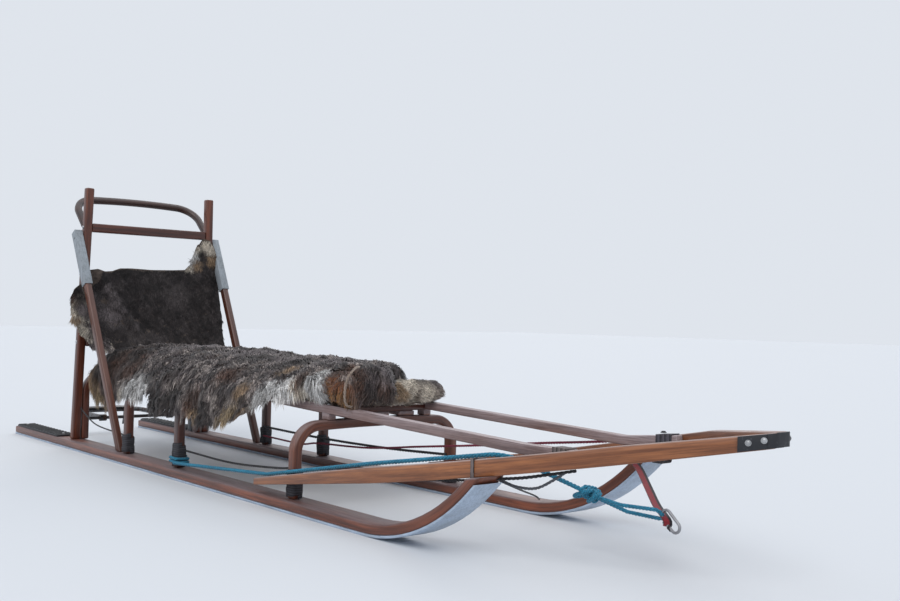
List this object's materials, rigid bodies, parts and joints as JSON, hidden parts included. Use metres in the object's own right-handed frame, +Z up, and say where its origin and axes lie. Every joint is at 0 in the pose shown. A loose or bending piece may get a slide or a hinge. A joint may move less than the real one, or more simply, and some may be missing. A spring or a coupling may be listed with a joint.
{
  "type": "dog_sled",
  "caption": "Wooden dog sled with bentwood arches, a long nose bow, a driver's handle bow, a hinged claw brake and a fur over the bed.",
  "frame": {"origin": "on the ground under the middle of the sled, halfway between the runners", "axes": "+X forward to the nose, +Y to the sled's left, +Z up"},
  "size_m": [3.19, 0.6, 0.9206],
  "materials": {
    "wood": "clear lacquer over laminated ash, worn grey on upper faces",
    "glide_white": "smooth low-friction plastic, lightly scratched",
    "sleeve_white": "scuffed plastic tube",
    "rubber_black": "dull, slightly rough",
    "tape_black": "wound cloth tape",
    "steel": "dull, lightly rusted",
    "fur": "long grey-brown winter fur with pale and ochre patches",
    "rope_teal": "braided polyester rope",
    "webbing_red": "woven webbing, red with a black edge"
  },
  "bodies": {
    "sled": {"bow_arm_left": "wood", "bow_arm_right": "wood", "runner_left": "wood", "runner_right": "wood", "arch_front": "wood", "arch_middle": "wood", "arch_seat": "wood", "arch_rear": "wood", "side_rail_left": "wood", "side_rail_right": "wood", "bed_slats": "wood", "bed_batten": "wood", "upright_left": "wood", "upright_right": "wood", "brace_left": "wood", "brace_right": "wood", "crossbar_upper": "wood", "crossbar_middle": "wood", "crossbar_lower": "wood", "handle_bow": "wood", "rail_blocks": "wood", "runner_base_left": "glide_white", "runner_base_right": "glide_white", "brace_sleeve_left": "sleeve_white", "brace_sleeve_right": "sleeve_white", "nose_pad": "rubber_black", "footboard_left": "rubber_black", "footboard_right": "rubber_black", "leg_tape_left": "tape_black", "leg_tape_right": "tape_black", "arm_tape_left": "tape_black", "arm_tape_right": "tape_black", "brake_ear_left": "steel", "brake_ear_right": "steel", "brace_washers": "steel", "tow_link": "steel", "seat_fur": "fur", "back_fur": "fur", "fur_roll": "fur", "bridle_rope": "rope_teal", "bridle_loop": "rope_teal", "bridle_knot": "rope_teal", "tow_strap": "webbing_red"},
    "brake": {"brake_bar": "steel", "brake_claws": "steel", "brake_tread": "steel"}
  },
  "joints": [
    {"name": "brake_hinge", "type": "hinge", "parent": "sled", "child": "brake", "pos_m": [-1.12, 0, 0.096], "axis": [0, 1, 0], "range_deg": [-9, 60], "stiffness_Nm_per_rad": 12, "springref_deg": 17.36}
  ]
}
